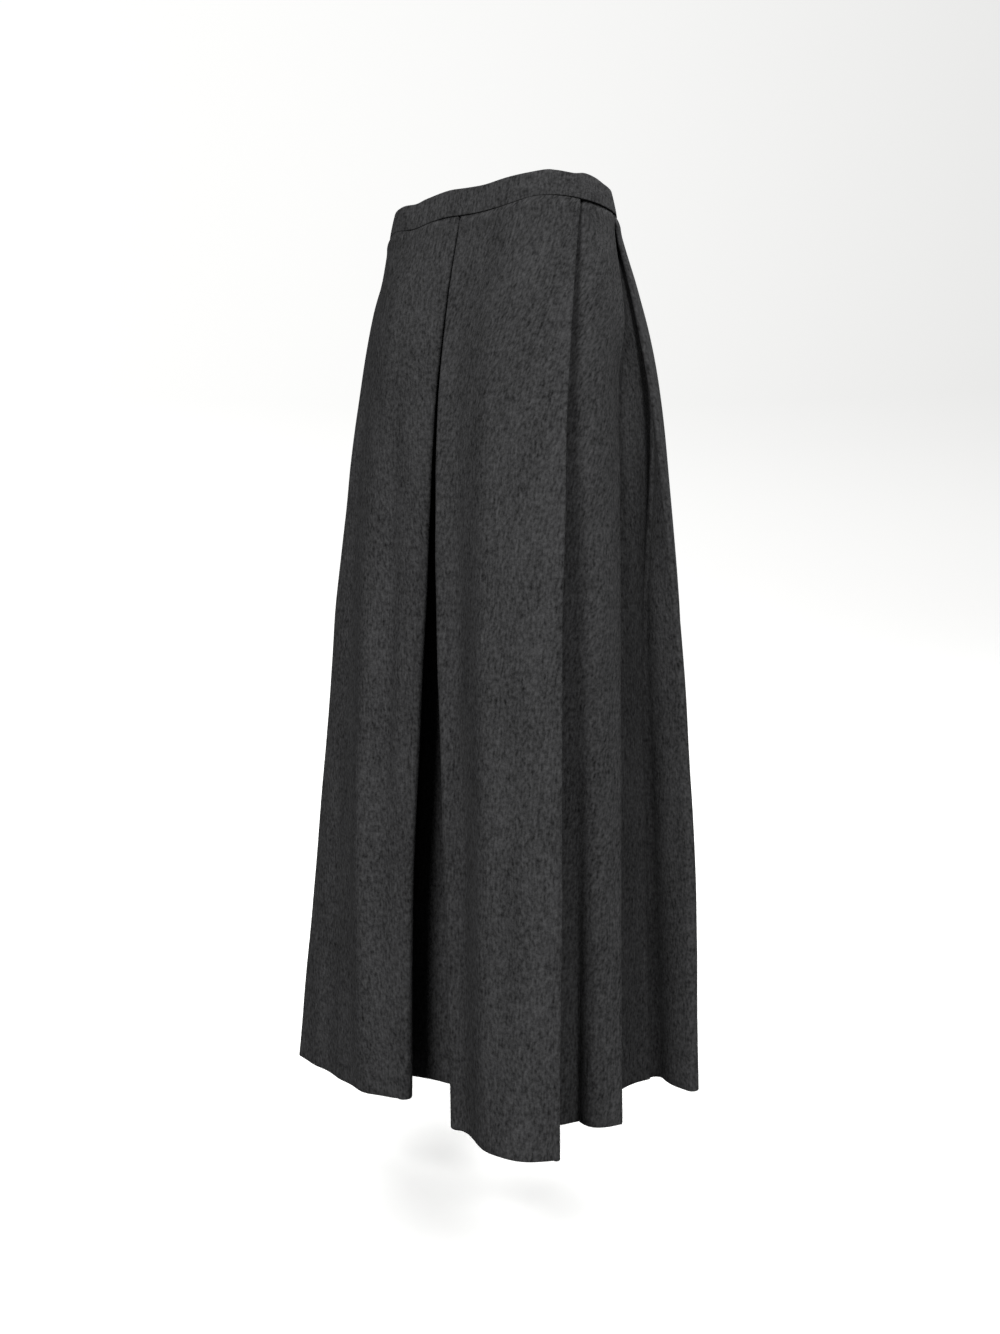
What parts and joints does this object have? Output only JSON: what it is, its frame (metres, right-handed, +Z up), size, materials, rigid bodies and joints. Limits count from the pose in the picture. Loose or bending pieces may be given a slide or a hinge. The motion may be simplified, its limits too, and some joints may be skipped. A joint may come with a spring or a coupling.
{
  "type": "pleated maxi skirt",
  "caption": "Long A-line skirt in grey wool flannel with a plain waistband, deep inverted and knife pleats and in-seam side pockets, in its worn shape.",
  "frame": {"origin": "middle of the waist, half way up the waistband", "axes": "+Z up along the wearer's body, front facing -Y, +X towards the wearer's left"},
  "size_m": [0.4098, 0.3303, 0.9273],
  "materials": {
    "flannel": "brushed charcoal melange wool flannel",
    "pocketing": "plain woven dark pocketing",
    "zip_tape": "woven zip tape"
  },
  "bodies": {
    "root": {"waistband": "flannel", "front": "flannel", "back_left": "flannel", "back_right": "flannel", "pocket_left": "pocketing", "pocket_right": "pocketing", "back_zip": "zip_tape"}
  },
  "joints": []
}
